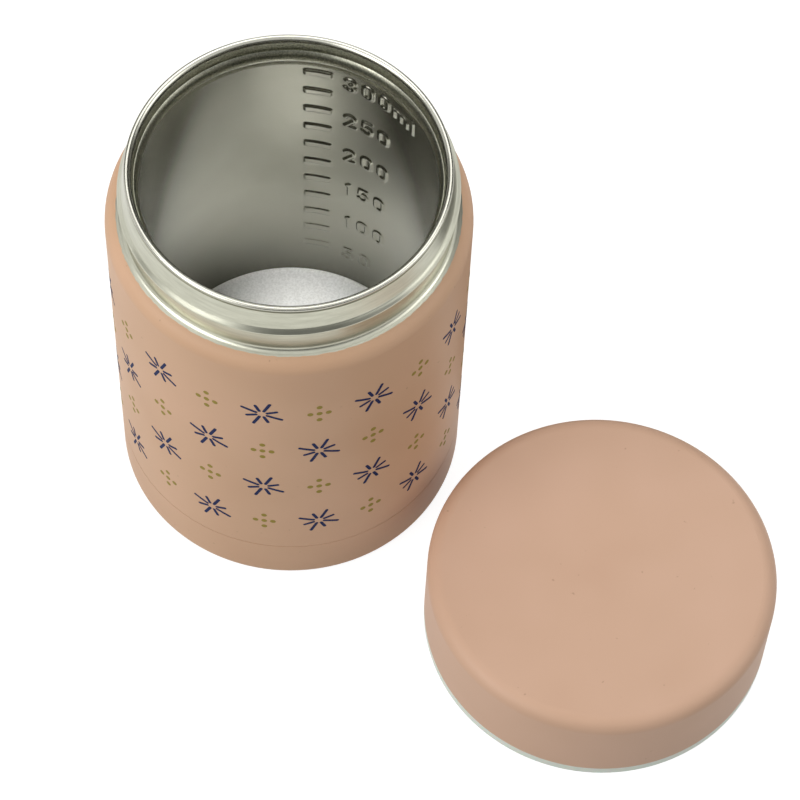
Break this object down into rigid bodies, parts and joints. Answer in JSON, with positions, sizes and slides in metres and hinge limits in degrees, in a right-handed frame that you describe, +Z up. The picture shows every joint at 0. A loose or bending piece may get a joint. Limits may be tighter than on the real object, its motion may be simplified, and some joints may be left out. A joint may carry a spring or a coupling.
{
  "type": "insulated food jar",
  "caption": "Insulated food jar with a double-walled steel vessel, bare steel screw neck and matte coat, standing open with its screw lid set down beside it.",
  "frame": {"origin": "centre of the jar's foot, on the plane that the jar and the lid stand on", "axes": "+Z up along the jar's axis; the lid stands towards +X and a little towards -Y; -Y faces the viewer"},
  "size_m": [0.158, 0.13, 0.1148],
  "materials": {
    "coat_jar": "matte powder coat",
    "steel_collar": "turned, bare",
    "steel_vessel": "bead blasted inside, turned at the lip",
    "copper_foil": null,
    "steel_base": "bare sheet",
    "solder_glass": "fused bead",
    "getter_pill": "sintered",
    "coat_cup": "matte powder coat",
    "coat_lid": "matte powder coat",
    "liner_plastic": "natural translucent polypropylene",
    "foam": "closed-cell foam",
    "plate_plastic": "natural polypropylene",
    "silicone": "soft silicone"
  },
  "bodies": {
    "jar": {"outer_shell": "coat_jar", "neck_collar": "steel_collar", "inner_vessel": "steel_vessel", "heat_shield": "copper_foil", "vacuum_base": "steel_base", "sealing_bead": "solder_glass", "getter": "getter_pill", "base_cup": "coat_cup"},
    "lid": {"lid_cap": "coat_lid", "lid_liner": "liner_plastic", "lid_insulation": "foam", "seal_plate": "plate_plastic", "seal_ring": "silicone"}
  },
  "joints": [
    {"name": "lid_lift", "type": "slide", "parent": "jar", "child": "lid", "axis": [0, 0, 1], "range_m": [0, 0.125]}
  ]
}
